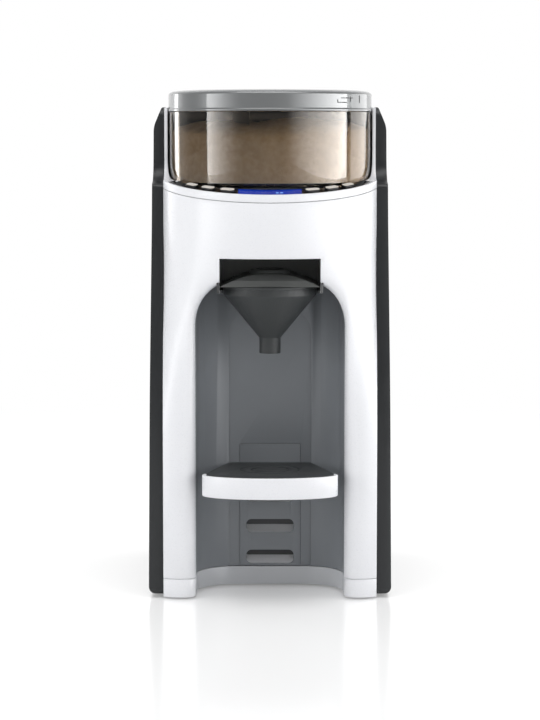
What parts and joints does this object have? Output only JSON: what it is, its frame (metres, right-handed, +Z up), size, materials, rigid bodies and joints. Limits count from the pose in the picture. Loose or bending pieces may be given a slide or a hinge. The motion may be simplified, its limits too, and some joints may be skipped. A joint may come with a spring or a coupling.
{
  "type": "baby formula maker",
  "caption": "Countertop formula maker: clear powder container over a lit control ledge, mixing funnel above a bottle bay with a tray, water tank behind.",
  "frame": {"origin": "on the table, in the middle of the machine's bounding box seen from above", "axes": "+Z up, -Y towards the user, +X to the right as seen from the front"},
  "size_m": [0.1848, 0.262, 0.3864],
  "materials": {
    "gloss_white": "glossy moulded ABS, white",
    "black_satin": "satin moulded ABS, near black",
    "grey_satin": "satin moulded ABS, mid grey",
    "dark_satin": "satin moulded plastic, dark grey",
    "black_gloss": "polished black acrylic strip",
    "silver_paint": "silver lacquer over plastic",
    "smoke_clear": "clear smoky copolyester",
    "smoke_dark": "dark smoky translucent plastic",
    "tank_clear": "clear smoky tank",
    "powder": "dry fine milk powder",
    "paddle_grey": "satin moulded plastic, grey",
    "ivory_plastic": "natural acetal",
    "silicone": "translucent silicone",
    "rubber": "soft black rubber",
    "steel": "zinc-plated or stainless steel",
    "brass": "machined brass",
    "board": "green solder mask",
    "float_orange": "moulded float",
    "lit_display": "backlit display window"
  },
  "bodies": {
    "machine": {"base_frame": "gloss_white", "base_trim": "grey_satin", "bottom_plate": "black_satin", "rubber_feet": "rubber", "bottom_screws": "steel", "front_shell": "gloss_white", "upper_collar": "gloss_white", "left_side_panel": "black_satin", "right_side_panel": "black_satin", "rear_shell": "black_satin", "bay_liner": "grey_satin", "slot_panel": "grey_satin", "funnel_dock": "dark_satin", "chassis": "grey_satin", "motor_bracket": "steel", "gearmotor": "steel", "heater": "steel", "pump": "dark_satin", "inlet_valve": "dark_satin", "cold_hose": "silicone", "link_hose": "silicone", "hot_hose": "silicone", "water_nozzle": "steel", "temperature_sensor": "brass", "bottle_sensor": "board", "main_board": "board", "power_module": "dark_satin", "power_inlet": "dark_satin", "display_board": "board", "control_strip": "black_gloss", "lcd_screen": "lit_display", "tank_seat": "black_satin", "tank_seal": "rubber"},
    "container": {"container_shell": "smoke_clear", "container_gasket": "silicone"},
    "wheel": {"mixing_wheel": "ivory_plastic", "stirrer": "paddle_grey", "formula_powder": "powder"},
    "lid_seal": {"lid_gasket": "silicone"},
    "lid_cap": {"lid": "silver_paint"},
    "drive": {"drive_gear": "ivory_plastic", "drive_coupling": "dark_satin"},
    "pinion": {"motor_pinion": "brass"},
    "funnel_body": {"funnel": "smoke_dark"},
    "cover_body": {"funnel_cover": "smoke_dark"},
    "tray": {"tray_frame": "gloss_white", "tray_mat": "dark_satin", "tray_hook": "dark_satin"},
    "tank": {"tank_body": "tank_clear", "tank_hinge_pin": "steel"},
    "tank_cap": {"tank_lid": "black_satin"},
    "float": {"tank_float": "float_orange"},
    "valve": {"tank_valve": "ivory_plastic"},
    "power_button_cap": {"power_button": "silver_paint"},
    "temperature_button_cap": {"temperature_button": "silver_paint"},
    "volume_button_cap": {"volume_button": "silver_paint"},
    "minus_button_cap": {"minus_button": "silver_paint"},
    "plus_button_cap": {"plus_button": "silver_paint"},
    "start_button_cap": {"start_button": "silver_paint"}
  },
  "joints": [
    {"name": "container_lift", "type": "slide", "parent": "machine", "child": "container", "axis": [0, 0, 1], "range_m": [0, 0.09]},
    {"name": "wheel_spin", "type": "hinge", "parent": "container", "child": "wheel", "pos_m": [0, -0.032, 0.32], "axis": [0, 0, 1], "continuous": true},
    {"name": "lid_lift", "type": "slide", "parent": "container", "child": "lid_seal", "axis": [0, 0, 1], "range_m": [0, 0.04]},
    {"name": "lid_twist", "type": "hinge", "parent": "lid_seal", "child": "lid_cap", "pos_m": [0, -0.032, 0.38], "axis": [0, 0, 1], "range_deg": [0, 25]},
    {"name": "drive_spin", "type": "hinge", "parent": "machine", "child": "drive", "pos_m": [0, -0.032, 0.285], "axis": [0, 0, 1], "continuous": true},
    {"name": "pinion_spin", "type": "hinge", "parent": "machine", "child": "pinion", "pos_m": [0, 0, 0.285], "axis": [0, 0, 1], "continuous": true},
    {"name": "funnel_slide", "type": "slide", "parent": "machine", "child": "funnel_body", "axis": [0, -1, 0], "range_m": [0, 0.09]},
    {"name": "cover_slide", "type": "slide", "parent": "machine", "child": "cover_body", "axis": [0, -1, 0], "range_m": [0, 0.09]},
    {"name": "tray_slide", "type": "slide", "parent": "machine", "child": "tray", "axis": [0, -1, 0], "range_m": [0, 0.12]},
    {"name": "power_button_press", "type": "slide", "parent": "machine", "child": "power_button_cap", "axis": [0, 0.1564, -0.9877], "range_m": [0, 0.0008], "stiffness_N_per_m": 900, "springref_m": -0.0006},
    {"name": "temperature_button_press", "type": "slide", "parent": "machine", "child": "temperature_button_cap", "axis": [0, 0.1564, -0.9877], "range_m": [0, 0.0008], "stiffness_N_per_m": 900, "springref_m": -0.0006},
    {"name": "volume_button_press", "type": "slide", "parent": "machine", "child": "volume_button_cap", "axis": [0, 0.1564, -0.9877], "range_m": [0, 0.0008], "stiffness_N_per_m": 900, "springref_m": -0.0006},
    {"name": "minus_button_press", "type": "slide", "parent": "machine", "child": "minus_button_cap", "axis": [0, 0.1564, -0.9877], "range_m": [0, 0.0008], "stiffness_N_per_m": 900, "springref_m": -0.0006},
    {"name": "plus_button_press", "type": "slide", "parent": "machine", "child": "plus_button_cap", "axis": [0, 0.1564, -0.9877], "range_m": [0, 0.0008], "stiffness_N_per_m": 900, "springref_m": -0.0006},
    {"name": "start_button_press", "type": "slide", "parent": "machine", "child": "start_button_cap", "axis": [0, 0.1564, -0.9877], "range_m": [0, 0.0008], "stiffness_N_per_m": 900, "springref_m": -0.0006},
    {"name": "tank_lift", "type": "slide", "parent": "machine", "child": "tank", "axis": [0, 0, 1], "range_m": [0, 0.26]},
    {"name": "tank_lid_hinge", "type": "hinge", "parent": "tank", "child": "tank_cap", "pos_m": [0, 0.1274, 0.3535], "axis": [-1, 0, 0], "range_deg": [0, 105]},
    {"name": "float_slide", "type": "slide", "parent": "tank", "child": "float", "axis": [0, 0, 1], "range_m": [0, 0.02]},
    {"name": "valve_slide", "type": "slide", "parent": "tank", "child": "valve", "axis": [0, 0, 1], "range_m": [0, 0.003], "stiffness_N_per_m": 300, "springref_m": -0.002}
  ],
  "couplings": [
    {"joint": "pinion_spin", "follows": "drive_spin", "ratio": -3},
    {"joint": "wheel_spin", "follows": "drive_spin", "ratio": 1}
  ]
}
